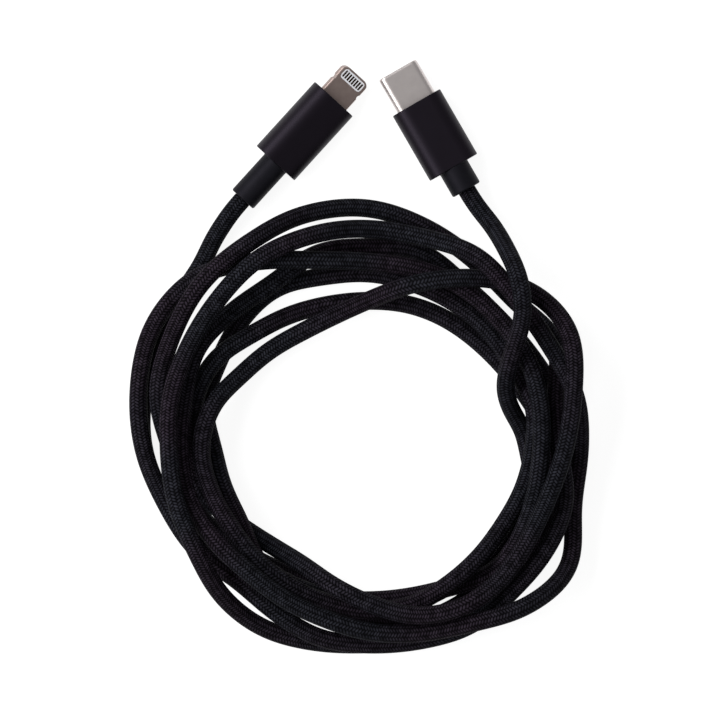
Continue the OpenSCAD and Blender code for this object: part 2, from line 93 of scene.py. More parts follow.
# %% Plan of the coil
CORD_D = 3.5
COIL_AT = np.array([2.6, -60.8])
STEPS = 24
COIL_FIRST = 6
COIL_LAST = 189
TURNS = np.array(
    [
        [0, 0, 0, 0, 0, 0, 30.4, 32.8, 31.5, 30, 30.5, 30.5, 30, 29, 28.5, 30.2, 33.5, 36, 38.2, 42.2, 43.8,
            45.5, 46, 47],
        [46.5, 44, 41.5, 40, 41.5, 37, 36.5, 39, 39, 38.5, 39, 38, 37.5, 37.5, 36.15, 35.65, 38.5, 40.5,
            43.5, 46, 48, 47, 41.9, 37.7],
        [36.1, 36, 36, 35.35, 35, 34, 33, 33, 33.5, 33.5, 30.6, 29.3, 29, 29.5, 30, 30.5, 28.5, 29, 30, 33,
            33.6, 35.1, 36, 34.5],
        [34, 33.1, 32.7, 32.5, 32, 32.8, 31.5, 30.5, 29.5, 29.5, 30, 31, 31, 30.5, 30.5, 30.5, 30.5, 31.5,
            32.5, 31.5, 28.6, 27.1, 26.1, 26.6],
        [28.8, 33, 38.2, 43.41, 44.5, 40.5, 37.5, 35.5, 35, 35.5, 35, 33, 29.5, 27, 25.5, 26.3, 28.9, 33,
            34, 35, 34.5, 31.6, 30.1, 29],
        [28.7, 29, 29.2, 29.5, 30.5, 32.6, 35.5, 35.5, 37, 38.5, 38.5, 38, 37.5, 38.5, 39.94, 39.91, 38.5,
            38.5, 38.5, 39.5, 40, 41, 42.5, 42.7],
        [42.5, 42.1, 42.5, 40.4, 40, 41, 40.5, 40.5, 44.5, 42.5, 38.5, 36.5, 35, 33.5, 33, 33, 34.5, 36,
            36.5, 37, 38.5, 37.5, 37, 39.2],
        [39, 39.4, 36.5, 35.5, 36, 37.5, 38.5, 38, 36.5, 34.5, 34.5, 34.5, 33.5, 33, 32.7, 35, 38, 40.5,
            43.5, 45, 46.5, 47.5, 0, 0],
    ]
)
PILE = (
    "6842357 6842357 6842357 6842357 6842375 6842375 18672435 18672435 18672435 18634275 16834275 "
    "16834275 16834275 16834275 18346275 15834267 18534276 18534276 81354726 83547216 83547216 "
    "83547216 3547216 5372146"
).split()

stations = np.arange(COIL_FIRST, COIL_LAST + 1)
angle = np.radians(360 / STEPS * stations)
radius = TURNS.ravel()[stations]
coil_plan = COIL_AT + radius[:, None] * np.stack([np.sin(angle), np.cos(angle)], 1)
coil_level = np.array([PILE[k % STEPS].index(str(k // STEPS + 1)) for k in stations], float)
print("coil stations", len(stations), "radii", radius.min(), "to", radius.max(), "mm")

# %% [markdown]
# ## How high each turn lies
#
# A real coil finds its heights by itself: each turn sinks until it rests on those below it. A simulation of
# a 1.8 m cord could do that, but it would also push the turns out of their plan. So the plan is kept, and
# only the heights are worked out, by one rule of contact and one of stiffness. First the script looks for
# every place where a turn lies over a lower one. Turns of a real coil touch. Here they stay `TURN_GAP` apart,
# so that no solid cuts into the next, and the pile is a little higher for it.

# %% Nearest place on another turn
def foot(line, p, b):
    """Nearest place to points p on chords b of a plan line: distance, chord and share u of the chord.

    u = clip((p - q) . e / e . e, 0, 1), with q the chord's start and e its run."""
    b = np.clip(b, 0, len(line) - 2)
    e = line[b + 1] - line[b]
    u = np.clip(((p - line[b]) * e).sum(1) / (e * e).sum(1), 0, 1)
    return np.linalg.norm(p - line[b] - u[:, None] * e, axis=1), b, u


apart, _, _ = foot(coil_plan, coil_plan[:1], np.array([STEPS]))
print("the coil starts", round(float(apart[0]), 1), "mm from its next turn")

# %% Where a turn lies over another
TURN_GAP = 0.7
MOST_TURNS_AWAY = 7
LEVEL_APART = 0.75
SAMPLES = [-0.5, -0.25, 0, 0.25, 0.5]


def crossings(line, level, reach):
    """Rows of station, lower chord, share of that chord and rise, one column for each place of contact.

    Samples lie on each station and up to half a chord either side. Two centres at plan distance d < reach
    keep a rise of sqrt(reach^2 - d^2), so that they stay reach apart in space."""
    last = len(line) - 1
    station, shift = (a.ravel() for a in np.meshgrid(np.arange(last + 1), SAMPLES, indexing="ij"))
    chord, share = np.where(shift < 0, station - 1, station), np.where(shift < 0, 1 + shift, shift)
    real = (chord >= 0) & (chord < last)
    station, chord, share = station[real], chord[real], share[real]
    sample = line[chord] * (1 - share)[:, None] + line[chord + 1] * share[:, None]
    sample_level = level[chord] * (1 - share) + level[chord + 1] * share
    found = []
    for turns_away in [n for n in range(-MOST_TURNS_AWAY, MOST_TURNS_AWAY + 1) if n]:
        expected = chord + STEPS * turns_away
        near = foot(line, sample, expected)
        for side in (-1, 1):
            other = foot(line, sample, expected + side)
            closer = other[0] < near[0]
            near = tuple(np.where(closer, there, here) for here, there in zip(near, other))
        distance, under, u = near
        under_level = level[under] * (1 - u) + level[under + 1] * u
        touches = (expected > -2) & (expected <= last) & (distance < reach)
        rests = touches & (sample_level - under_level >= LEVEL_APART)
        rise = np.sqrt(reach**2 - distance[rests] ** 2)
        found.append(np.stack([station[rests], under[rests], u[rests], rise]))
    return np.concatenate(found, axis=1)


resting = crossings(coil_plan, coil_level, CORD_D + TURN_GAP)
print("places where a turn rests on another", resting.shape[1])

# %% Heights of the coil
CLIMB = 0.6
SETTLE_ROUNDS = 14


def settle(line, resting):
    """Heights of a laid line, from flat on the table, in rounds of two steps.

    Each station is lifted to the height of what lies under it plus its rise. Then the line may climb or fall
    by CLIMB for each millimetre of its way: with fall the height it could lose from its start to a station,
    that is a running maximum of z + fall from the start, and of z - fall from the end."""
    station, under, u, rise = resting
    station, under = station.astype(int), under.astype(int)
    fall = CLIMB * np.r_[0, np.cumsum(np.linalg.norm(np.diff(line, axis=0), axis=1))]
    z = np.full(len(line), CORD_D / 2)
    for _ in range(SETTLE_ROUNDS):
        np.maximum.at(z, station, z[under] * (1 - u) + z[under + 1] * u + rise)
        z = np.maximum.accumulate(z + fall) - fall
        z = np.maximum.accumulate((z - fall)[::-1])[::-1] + fall
    return z


coil_line = np.column_stack([coil_plan, settle(coil_plan, resting)])
print("highest centre of the coil", round(coil_line[:, 2].max(), 2), "mm")

# %% [markdown]
# ## Where the plugs lie
#
# A plug is thicker at its housing than the cord, so it lies on its housing and rolls a little onto one long
# edge. Its lean and its rounded section give the height of its axis, and the cord has to leave along that
# axis. Nothing here is given except where each plug lies and how far it has rolled over.

# %% Where the plugs lie
# at: rear of the housing in plan. heading and lean: degrees. size: the housing's length, width, thickness
# and corner radius. sleeve: its diameter and length.
TAB = {"at": (-15.5, -5.7), "heading": 47.7, "lean": 22, "size": (16.7, 10, 6.4, 3.0), "sleeve": (5.5, 9.4)}
OVAL = {"at": (18.8, -6.5), "heading": 120, "lean": 5, "size": (14.4, 10.5, 6.2, 2.9), "sleeve": (6, 5.0)}


def rest_height(plug):
    """Axis height of a leaning rounded bar: r + (w/2 - r) sin(lean) + (t/2 - r) cos(lean)."""
    _, w, t, r = plug["size"]
    lean = math.radians(plug["lean"])
    return r + (w / 2 - r) * math.sin(lean) + (t / 2 - r) * math.cos(lean)


def behind(plug, back):
    """The point on a plug's axis that far behind its housing."""
    h = math.radians(plug["heading"])
    x, y = plug["at"]
    return np.array([x - back * math.cos(h), y - back * math.sin(h), rest_height(plug)])


print("axis heights", round(rest_height(TAB), 2), "and", round(rest_height(OVAL), 2), "mm")

# %% [markdown]
# ## The free stretches
#
# From the coil's ends the cord runs free to its plugs. No rule gives the way of a free cord, so its points
# are listed one by one: in plan where the real one passes, and at a height that clears what lies under it. At
# both of its ends a stretch goes straight for one cord diameter, because a sleeve or the next turn holds it
# there.

# %% Route of the whole cord
def unit(v):
    """The vector's direction, one long."""
    return v / np.linalg.norm(v)


IN_PLAN = [1, 1, 0]
start_way = unit((coil_line[1] - coil_line[0]) * IN_PLAN)
end_way = unit((coil_line[-1] - coil_line[-2]) * IN_PLAN)
oval_lead = [
    behind(OVAL, OVAL["sleeve"][1]),
    behind(OVAL, OVAL["sleeve"][1] + CORD_D),
    (25.75, -17, 5),
    (27.75, -20.2, 8.9),
    (29.5, -23.6, 13.6),
    (31.05, -27.2, 17.2),
    (31.9, -31, 18.8),
    (32.1, -34.5, 18.4),
    (31.4, -38, 16.8),
    (30.2, -41.5, 14.6),
    (29.2, -45, 12.4),
    (28.5, -48.5, 9.9),
    (29.2, -51.7, 6.7),
    (30.7, -54.7, 3.3),
    coil_line[0] - CORD_D * start_way,
]
tab_lead = [
    coil_line[-1] + CORD_D * end_way,
    (-28, -21.2, 2.5),
    (-25.65, -17.6, 3.4),
    behind(TAB, TAB["sleeve"][1] + CORD_D),
    behind(TAB, TAB["sleeve"][1]),
]
route = np.vstack([oval_lead, coil_line, tab_lead])
print("points on the route", len(route))

# %% [markdown]
# ## One smooth line
#
# A cord bends evenly, and straight chords between the stations would show as corners. A Bezier curve needs
# a handle at each point. A Catmull-Rom curve passes through the points with no handles, and its centripetal
# form makes no loops where the points are unevenly spaced. What is left of the points' unevenness is then
# averaged away along the line, as the stiffness of a real cord does it.

# %% Curve through the points
RING_MM = 0.8
SPAN_POINTS = 12


def smooth_line(points, spacing):
    """Centripetal Catmull-Rom curve through points, resampled at equal arc spacing.

    Knots grow by the square root of each chord. Each span is three rounds of mixing neighbours in proportion
    to the knot distance: four points to three, three to two, two to one."""
    p = np.vstack([2 * points[0] - points[1], points, 2 * points[-1] - points[-2]])
    t = np.r_[0, np.cumsum(np.sqrt(np.linalg.norm(np.diff(p, axis=0), axis=1)))]
    spans = np.arange(1, len(p) - 2)
    p0, p1, p2, p3 = (p[spans + k][:, None] for k in (-1, 0, 1, 2))
    t0, t1, t2, t3 = (t[spans + k][:, None, None] for k in (-1, 0, 1, 2))
    x = t1 + (t2 - t1) * np.linspace(0, 1, SPAN_POINTS, endpoint=False)[:, None]

    def mix(a, b, ta, tb):
        return (tb - x) / (tb - ta) * a + (x - ta) / (tb - ta) * b

    a1, a2, a3 = mix(p0, p1, t0, t1), mix(p1, p2, t1, t2), mix(p2, p3, t2, t3)
    spans_drawn = mix(mix(a1, a2, t0, t2), mix(a2, a3, t1, t3), t1, t2)
    curve = np.vstack([spans_drawn.reshape(-1, 3), points[-1:]])
    arc = np.r_[0, np.cumsum(np.linalg.norm(np.diff(curve, axis=0), axis=1))]
    even = np.linspace(0, arc[-1], int(arc[-1] / spacing) + 1)
    return np.column_stack([np.interp(even, arc, curve[:, i]) for i in range(3)])


drawn_line = smooth_line(route, RING_MM)
print("rings along the curve", len(drawn_line))

# %% Relaxed centreline
def relax(line, sigma, reach):
    """Line averaged along itself with weights exp(-k^2 / 2 sigma^2), k its steps to either side.

    Its ends are kept, because the line goes on past them as its own mirror image through the end point."""
    k = np.arange(-reach, reach + 1)
    weight = np.exp(-(k**2) / (2 * sigma**2))
    before = 2 * line[0] - line[reach:0:-1]
    after = 2 * line[-1] - line[-2 : -reach - 2 : -1]
    longer = np.vstack([before, line, after])
    share = weight / weight.sum()
    return np.column_stack([np.convolve(longer[:, i], share, mode="valid") for i in range(3)])


centreline = relax(drawn_line, sigma=3, reach=18)
centreline[:, 2] = np.maximum(centreline[:, 2], CORD_D / 2)
along = np.r_[0, np.cumsum(np.linalg.norm(np.diff(centreline, axis=0), axis=1))]

# %% [markdown]
# ## The cord
#
# The cord is a jacketed bundle in a textile sleeve, round all the way. A curve object with a round bevel
# would draw it, but its map runs from 0 to 1 whatever the cord's length. So the tube is built ring by ring
# as one array, and its UV map holds millimetres along the cord and millimetres round it. The braid's pitch
# is then typed as it is measured. The mesh's seam is merged and its two ends are closed, as on a solid
# body.
#
# The tube then takes the place of three imported solids, which are hidden, and it hangs on the frame's root.

# %% Rings of the cord
SIDES = 20


def tube_rings(line, radius, sides):
    """Rings round a line: c + r (cos a S + sin a U), S level and across the line, U square to both."""
    tangent = np.gradient(line, axis=0)
    tangent /= np.linalg.norm(tangent, axis=1)[:, None]
    across = np.cross(tangent, [0, 0, 1])
    across /= np.linalg.norm(across, axis=1)[:, None]
    up = np.cross(across, tangent)
    a = np.linspace(0, 2 * np.pi, sides + 1)[None, :, None]
    return line[:, None] + radius * (np.cos(a) * across[:, None] + np.sin(a) * up[:, None])


rings = tube_rings(centreline, CORD_D / 2, SIDES)
grid = np.arange(len(rings) * (SIDES + 1)).reshape(len(rings), SIDES + 1)
quads = np.stack([grid[:-1, :-1], grid[1:, :-1], grid[1:, 1:], grid[:-1, 1:]], -1).reshape(-1, 4)
print("rings", rings.shape, "faces", len(quads))

# %% Mesh of the cord
def new_piece(name, verts, faces):
    """A smooth-shaded mesh object at the origin, from vertices in millimetres."""
    mesh = bpy.data.meshes.new(name)
    mesh.from_pydata((np.asarray(verts) * MM).tolist(), [], faces)
    mesh.validate()
    mesh.polygons.foreach_set("use_smooth", [True] * len(mesh.polygons))
    made = bpy.data.objects.new(name, mesh)
    bpy.context.collection.objects.link(made)
    return made


cord = new_piece("braided_cord", rings.reshape(-1, 3), quads.tolist())
print("cord points", len(cord.data.vertices))

# %% Millimetre map of the cord
def set_uv(piece, uv):
    """Gives each corner of the mesh its vertex's (u, v)."""
    corners = np.empty(len(piece.data.loops), int)
    piece.data.loops.foreach_get("vertex_index", corners)
    layer = piece.data.uv_layers.new(name="mm")
    layer.data.foreach_set("uv", np.asarray(uv, float)[corners].ravel())


round_mm = np.linspace(0, math.pi * CORD_D, SIDES + 1)
set_uv(cord, np.stack(np.meshgrid(along, round_mm, indexing="ij"), -1).reshape(-1, 2))

# %% Seam and ends of the cord
MERGE_MM = 0.0001


def close_up(piece):
    """Merges points that coincide, fills open ends with flat faces and turns every face outwards."""
    edit = bmesh.new()
    edit.from_mesh(piece.data)
    bmesh.ops.remove_doubles(edit, verts=edit.verts, dist=MERGE_MM * MM)
    ends = bmesh.ops.holes_fill(edit, edges=edit.edges, sides=0)
    for face in ends["faces"]:
        face.smooth = False
    bmesh.ops.recalc_face_normals(edit, faces=edit.faces)
    edit.to_mesh(piece.data)
    edit.free()


close_up(cord)
print("cord faces", len(cord.data.polygons), "points", len(cord.data.vertices))

# %% The cord in the frame
node_object = frame["nodes"]
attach(cord, "root")
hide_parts("tab_lead", "coil", "oval_lead")

# %% [markdown]
# ## Braid
#
# The cord's sleeve is braided from dark polyester yarns. Twelve run round it one way and twelve the other,
# and each passes over two crossing yarns and under the next two. What shows of a yarn between two dips is
# called a float. The floats lean left and right in turn and stand in columns, like ears of wheat. Modelled
# yarn by yarn, 1.8 m of cord would take millions of faces, and a tiled picture would blur up close. Math
# nodes on the cord's own map in millimetres draw each float at any size and cost no faces.
#
# The yarns cross every 0.58 mm along the cord, closer together where a hand has pushed the sleeve back and
# further apart where it has drawn it out. `yarn_a` and `yarn_b` count the yarns of the two directions.

# %% Nodes, and an empty material for the braid
def colour(code):
    """Linear RGBA of an sRGB hex code: c/12.92 below 0.04045, else ((c + 0.055) / 1.055) ** 2.4."""
    c = np.array([int(code[i : i + 2], 16) for i in (1, 3, 5)]) / 255
    return (*np.where(c <= 0.04045, c / 12.92, ((c + 0.055) / 1.055) ** 2.4), 1.0)


def fill(tree, node, sockets):
    """Gives a node's inputs their values, and links each value that is another node's output."""
    for name, value in sockets.items():
        if isinstance(value, bpy.types.NodeSocket):
            tree.links.new(value, node.inputs[name])
        else:
            node.inputs[name].default_value = value


def add_node(tree, kind, *first, sockets=None, stops=(), result=0, **settings):
    """Adds one shader node and gives back one of its outputs.

    first fills its inputs in their order and sockets fills them by name. settings are its own properties,
    and stops the (position, hex) marks of a colour ramp, from left to right."""
    node = tree.nodes.new("ShaderNode" + kind)
    for name, value in settings.items():
        setattr(node, name, value)
    fill(tree, node, dict(enumerate(first)) | (sockets or {}))
    for place, (position, code) in enumerate(stops):
        marks = node.color_ramp.elements
        mark = marks[place] if place < len(marks) else marks.new(position)
        mark.position = position
        mark.color = colour(code)
    return node.outputs[result]


def new_material(name):
    """An empty node material with its Principled shader: (material, tree, shader)."""
    material = bpy.data.materials.new(name)
    material.use_nodes = True
    tree = material.node_tree
    return material, tree, tree.nodes["Principled BSDF"]


# Polyester yarn braided over a moulded jacket: a soft dark with no shine, broken up by the fine floats.
braid, tree, shader = new_material("braid_polyester_over_jacket")
print(braid.name, "starts with", [node.name for node in tree.nodes])

# %% Yarns counted along and round the cord
YARNS = 12
CROSSING_MM = 0.58
PUSH_MM = 25
PUSH_YARNS = 7.0
uv = add_node(tree, "UVMap", uv_map="mm")
lengthways, roundways, _ = add_node(tree, "SeparateXYZ", uv).node.outputs
push = {"W": lengthways, "Scale": 1 / PUSH_MM, "Detail": 1.0}
pushed = add_node(tree, "TexNoise", sockets=push, noise_dimensions="1D", result="Fac")
evenly = add_node(tree, "Math", lengthways, 1 / CROSSING_MM, operation="MULTIPLY")
down_cord = add_node(tree, "Math", pushed, PUSH_YARNS, evenly, operation="MULTIPLY_ADD")
round_cord = add_node(tree, "Math", roundways, YARNS / (math.pi * CORD_D), operation="MULTIPLY")
yarn_a = add_node(tree, "Math", down_cord, round_cord, operation="ADD")
yarn_b = add_node(tree, "Math", down_cord, round_cord, operation="SUBTRACT")
print("braid repeats", YARNS // 2, "times round and every", CROSSING_MM, "mm")

# %% Floats, two over and two under
DOME_ACROSS = 0.7
DOME_ALONG = 0.6
RIDGES = 4.0
RIDGE_DEPTH = 0.15


def half_wave(tree, turns, power):
    """|sin(pi turns)| raised to a power: one dome for each whole turn, flatter on top for a lower power."""
    arc = add_node(tree, "Math", turns, math.pi, operation="MULTIPLY")
    wave = add_node(tree, "Math", arc, operation="SINE")
    size = add_node(tree, "Math", wave, operation="ABSOLUTE")
    return add_node(tree, "Math", size, power, operation="POWER")


def float_place(tree, own, other, shift):
    """Place along a yarn's cycle of four crossings, in which the yarn is on top from 0 to 2.

    (other - whole part of own + shift) modulo 4, so that each next yarn starts one crossing further on."""
    number = add_node(tree, "Math", own, operation="FLOOR")
    ahead = add_node(tree, "Math", other, number, operation="SUBTRACT")
    shifted = add_node(tree, "Math", ahead, shift, operation="ADD")
    return add_node(tree, "Math", shifted, 4.0, operation="FLOORED_MODULO")


def float_height(tree, own, place):
    """Height of a float: the mean of a dome across the yarn and one along its two crossings.

    It is lowest at the float's corners. Four ridges across the yarn stand for its filaments, each drawn
    wider than a real one, which is too fine to show."""
    across = half_wave(tree, own, DOME_ACROSS)
    crossing = add_node(tree, "Math", place, 0.5, operation="MULTIPLY")
    both = add_node(tree, "Math", across, half_wave(tree, crossing, DOME_ALONG), operation="ADD")
    body = add_node(tree, "Math", both, 0.5, operation="MULTIPLY")
    filament = add_node(tree, "Math", own, RIDGES, operation="MULTIPLY")
    ridge = half_wave(tree, filament, 1.0)
    cut = add_node(tree, "Math", ridge, RIDGE_DEPTH, 1 - RIDGE_DEPTH, operation="MULTIPLY_ADD")
    return add_node(tree, "Math", body, cut, operation="MULTIPLY")


# With these two shifts one direction is on top wherever the other is under.
place_a = float_place(tree, yarn_a, yarn_b, 1.0)
place_b = float_place(tree, yarn_b, yarn_a, -2.0)
float_a = float_height(tree, yarn_a, place_a)
float_b = float_height(tree, yarn_b, place_b)
a_on_top = add_node(tree, "Math", place_a, 2.0, operation="LESS_THAN")
height = add_node(tree, "Mix", sockets={0: a_on_top, 2: float_b, 3: float_a})
float_mm = math.hypot(CROSSING_MM, math.pi * CORD_D / YARNS)
print("a float is", round(float_mm, 2), "mm long, nodes so far", len(tree.nodes))

# %% [markdown]
# ### Colour and relief of the yarns
#
# The yarns are one dark dye, yet no stretch of a real sleeve is even: handling wears small patches lighter,
# and the cast drifts from a warm to a cool near-black over a few centimetres. Two noises on the cord's map
# carry that. The ramps also paint light and shade into the colour: painted shade, black, in the dips between
# the floats, and a painted highlight on each float's back, so that the weave shows in flat light too, where a
# Bump node alone would leave it blank. The Bump adds what the light does to the floats' sides.

# %% Colour of the yarns
WEAR_MM = 10 / 7
WEAR_LEAST = 0.6
WEAR_SPREAD = 0.8
DYE_MM = 250 / 7
# Both ramps run from black in the dips between floats to a light float back: painted shade and a painted
# highlight, in a warm and a cool cast of the dye.
WARM_DYE_PAINTED_SHADE = [(0.0, "#000000"), (0.36, "#040304"), (0.68, "#171318"), (1.0, "#3d3540")]
COOL_DYE_PAINTED_SHADE = [(0.0, "#000000"), (0.36, "#030304"), (0.68, "#141418"), (1.0, "#36373f")]
patches = {"Vector": uv, "Scale": 1 / WEAR_MM, "Detail": 2.0}
worn = add_node(tree, "TexNoise", sockets=patches, result="Fac")
wear = add_node(tree, "Math", worn, WEAR_SPREAD, WEAR_LEAST, operation="MULTIPLY_ADD")
bright = add_node(tree, "Math", height, wear, operation="MULTIPLY")
warm_with_painted_shade = add_node(tree, "ValToRGB", bright, stops=WARM_DYE_PAINTED_SHADE)
cool_with_painted_shade = add_node(tree, "ValToRGB", bright, stops=COOL_DYE_PAINTED_SHADE)
stretch = {"W": lengthways, "Scale": 1 / DYE_MM, "Detail": 1.0}
dye = add_node(tree, "TexNoise", sockets=stretch, noise_dimensions="1D", result="Fac")
cast = add_node(tree, "MapRange", sockets={"Value": dye, "From Min": 0.4, "From Max": 0.6})
shade = add_node(tree, "Mix", sockets={0: cast, 6: warm_with_painted_shade, 7: cool_with_painted_shade}, data_type="RGBA", result=2)
print("worn patches of", round(WEAR_MM, 1), "mm, dye drifts over", round(DYE_MM), "mm")

# %% Relief of the yarns
FUZZ_MM = 1 / 9
FUZZ_SHARE = 0.15
RELIEF_MM = 0.22
hairs = {"Vector": uv, "Scale": 1 / FUZZ_MM, "Detail": 3.0}
fuzz = add_node(tree, "TexNoise", sockets=hairs, result="Fac")
relief = add_node(tree, "Math", fuzz, FUZZ_SHARE, height, operation="MULTIPLY_ADD")
bump = add_node(tree, "Bump", sockets={"Height": relief, "Strength": 1.0, "Distance": RELIEF_MM * MM})
fill(tree, shader, {"Base Color": shade, "Roughness": 0.6, "Specular IOR Level": 0.02, "Normal": bump})
cord.data.materials.append(braid)
print("braid nodes", len(tree.nodes))

# %% [markdown]
# ## Housings
#
# Each plug has a moulded housing: a flat bar with well-rounded long edges and two nearly flat ends, hollow,
# with an opening for its tip. A cube with a Bevel modifier would round all its edges alike, but here the
# corners of the section are 3 mm and those of the ends 0.2 mm. So a housing is one closed loft, a skin
# through outlines set one behind the other: along the outside, round the small fillets of both ends, in
# through the mouth and back along the cavity.
#
# A plug has a frame of its own: x along the plug to its tip, y across, z through its thickness. Shapes are
# worked out there and then placed, so the leaning plug is as easy to build as a level one.

# %% Outline of a moulded section
def section(w, t, r, corner=10, flat=5):
    """Closed outline of a w by t rectangle with corner radius r.

    A corner is its centre plus r (cos a, sin a) over a quarter turn. Along a flat the points stand at shares
    0.5 - 0.5 cos(a), closer together near the corners."""
    r = min(r, w / 2, t / 2)
    a = np.linspace(0, np.pi / 2, corner)
    share = (0.5 - 0.5 * np.cos(np.linspace(0, np.pi, flat + 2)))[1:-1, None]
    corners = []
    for quarter, (sx, sy) in enumerate([(1, 1), (-1, 1), (-1, -1), (1, -1)]):
        c = np.array([sx * (w / 2 - r), sy * (t / 2 - r)])
        turn = a + quarter * np.pi / 2
        corners.append(c + r * np.stack([np.cos(turn), np.sin(turn)], 1))
    outline = []
    for here, there in zip(corners, corners[1:] + corners[:1]):
        outline += [here, here[-1] * (1 - share) + there[0] * share]
    return np.vstack(outline)


def grown(size, by):
    """Section of a (width, thickness, radius) size, moved outwards by that much on every side."""
    w, t, r = size
    return section(w + 2 * by, t + 2 * by, r + by)


print("points in a section", len(section(*OVAL["size"][1:])))

# %% A skin through outlines
def placed(plug, points):
    """Points of a plug's own frame, rolled by its lean, turned to its heading and moved to its place."""
    x, y = plug["at"]
    rolled = Matrix.Rotation(math.radians(plug["lean"]), 4, "X")
    turned = Matrix.Rotation(math.radians(plug["heading"]), 4, "Z")
    m = np.array(Matrix.Translation((x, y, rest_height(plug))) @ turned @ rolled)
    return np.asarray(points, float) @ m[:3, :3].T + m[:3, 3]


def loft(name, plug, outlines):
    """A closed skin through (x, outline) pairs in the plug's frame, its last outline joined to its first.

    Each face joins points k and k + 1 of one outline to the same two of the next."""
    count, around = len(outlines), len(outlines[0][1])
    local = np.vstack([np.column_stack([np.full(around, x), outline]) for x, outline in outlines])
    i, k = np.meshgrid(np.arange(count), np.arange(around), indexing="ij")
    j, beside = (i + 1) % count, (k + 1) % around
    faces = np.stack([i * around + k, i * around + beside, j * around + beside, j * around + k], -1)
    made = new_piece(name, placed(plug, local), faces.reshape(-1, 4).tolist())
    set_uv(made, local[:, :2])
    close_up(made)
    made.modifiers.new("flat_faces_stay_flat", "WEIGHTED_NORMAL").keep_sharp = True
    return made


print("front of the tab housing at", placed(TAB, [(TAB["size"][0], 0, 0)])[0].round(1), "mm")

# %% Housings
BODY_WALL = 0.8
FIT = 0.05
LIP = 0.05
SOFT_EDGE = 0.2
SHELL_W = 8.25
SHELL_T = 2.4
TAB_MOUTH = (6.7, 1.5, 0.5)
OVAL_MOUTH = (SHELL_W, SHELL_T, SHELL_T / 2)


def fillet(x, inward, radius, n=4, reach=None):
    """(x, inset) pairs of a rounded end: x moves by reach (1 - sin a) while the inset is radius (1 - cos a).

    inward is +1 where x grows toward the end and -1 where it falls. With no reach it is a quarter circle."""
    a = np.linspace(0, np.pi / 2, n)
    return [(x - inward * (reach or radius) * (1 - math.sin(v)), radius * (1 - math.cos(v))) for v in a]


def housing(name, plug, mouth):
    """Hollow housing of the plug's size with softened ends, open for a mouth (width, thickness, radius)."""
    length, *size = plug["size"]
    rear = [(x, grown(size, -inset)) for x, inset in fillet(0, -1, SOFT_EDGE)[::-1]]
    front = [(x, grown(size, -inset)) for x, inset in fillet(length, 1, SOFT_EDGE)]
    opening, cavity = grown(mouth, FIT), grown(size, -BODY_WALL)
    through = [(length, grown(mouth, FIT + LIP)), (length - LIP, opening), (length - BODY_WALL, opening)]
    return loft(name, plug, rear + front + through + [(length - BODY_WALL, cavity), (0, cavity)])


tab_housing = housing("tab_plug_housing_shell", TAB, TAB_MOUTH)
oval_housing = housing("oval_plug_housing_shell", OVAL, OVAL_MOUTH)
print("housing faces", len(tab_housing.data.polygons), "and", len(oval_housing.data.polygons))

# %% [markdown]
# ## Strain sleeves
#
# A short soft sleeve keeps the cord from kinking where it leaves the housing. Each cut across it is a
# circle, so it could be a profile turned by Blender's Spin tool. But its front end is a cap with the
# housing's inner section, which closes the housing's rear. A loft takes both, circles first and then the
# cap, if all of them have the same number of points.

# %% Sleeves
TIP_ROUND = 0.35
TIP_ANGLES = (0.5, 1.0, 1.57)
FLARE = 0.1
FLARE_FROM = 0.15
CAP_DEPTH = 1.6


def sleeve(name, plug):
    """Sleeve turned round the plug's axis from (x, radius) pairs, with its cap in the housing's rear."""
    d, length = plug["sleeve"]
    bore = CORD_D / 2 + FIT
    cap = grown(plug["size"][1:], -BODY_WALL - FIT)
    a = np.linspace(0, 2 * np.pi, len(cap), endpoint=False)
    circle = np.stack([np.cos(a), np.sin(a)], 1)
    tip = [(TIP_ROUND * (1 - math.cos(v)), TIP_ROUND * (1 - math.sin(v))) for v in TIP_ANGLES]
    profile = [(-length, bore), (-length, d / 2 - TIP_ROUND)]
    profile += [(forward - length, d / 2 - inset) for forward, inset in tip]
    profile += [(-length / 2, d / 2), (-FLARE_FROM, d / 2), (0, d / 2 + FLARE)]
    outlines = [(x, circle * radius) for x, radius in profile]
    return loft(name, plug, outlines + [(0, cap), (CAP_DEPTH, cap), (CAP_DEPTH, circle * bore)])


tab_sleeve = sleeve("tab_strain_sleeve_skin", TAB)
oval_sleeve = sleeve("oval_strain_sleeve_skin", OVAL)
print("sleeve faces", len(tab_sleeve.data.polygons), "and", len(oval_sleeve.data.polygons))

# %% [markdown]
# ## Oval shell
#
# The oval plug's tip is a thin steel tube, drawn through a die, with its mouth edge rolled in so that it
# finds its way into the socket. That roll is what catches the light. A Bevel modifier would cut both edges
# of the wall, and here only the outer one turns in, over nearly the whole wall. So the shell is the same
# kind of loft, with more outlines where it rolls in.

# %% Oval shell
SHELL_FROM = 10.6
SHELL_TO = 21.7
SHELL_WALL = 0.3
PLAIN_MM = 6
ROLL_REACH = 0.55
EDGE_LEFT = 0.02


def drawn_shell(name, plug, start, end):
    """Oval tube from x = start to end, its mouth edge rolled in until EDGE_LEFT of the wall is left flat."""

    def oval(inset):
        return section(SHELL_W - 2 * inset, SHELL_T - 2 * inset, SHELL_T / 2 - inset, corner=14)

    plain = [(start, oval(0)), (start + PLAIN_MM, oval(0))]
    roll = fillet(end, 1, SHELL_WALL - EDGE_LEFT, n=8, reach=ROLL_REACH)
    inside = [(end - EDGE_LEFT, oval(SHELL_WALL)), (start, oval(SHELL_WALL))]
    return loft(name, plug, plain + [(x, oval(inset)) for x, inset in roll] + inside)


oval_shell = drawn_shell("oval_shell_drawn", OVAL, SHELL_FROM, SHELL_TO)
print("shell faces", len(oval_shell.data.polygons))

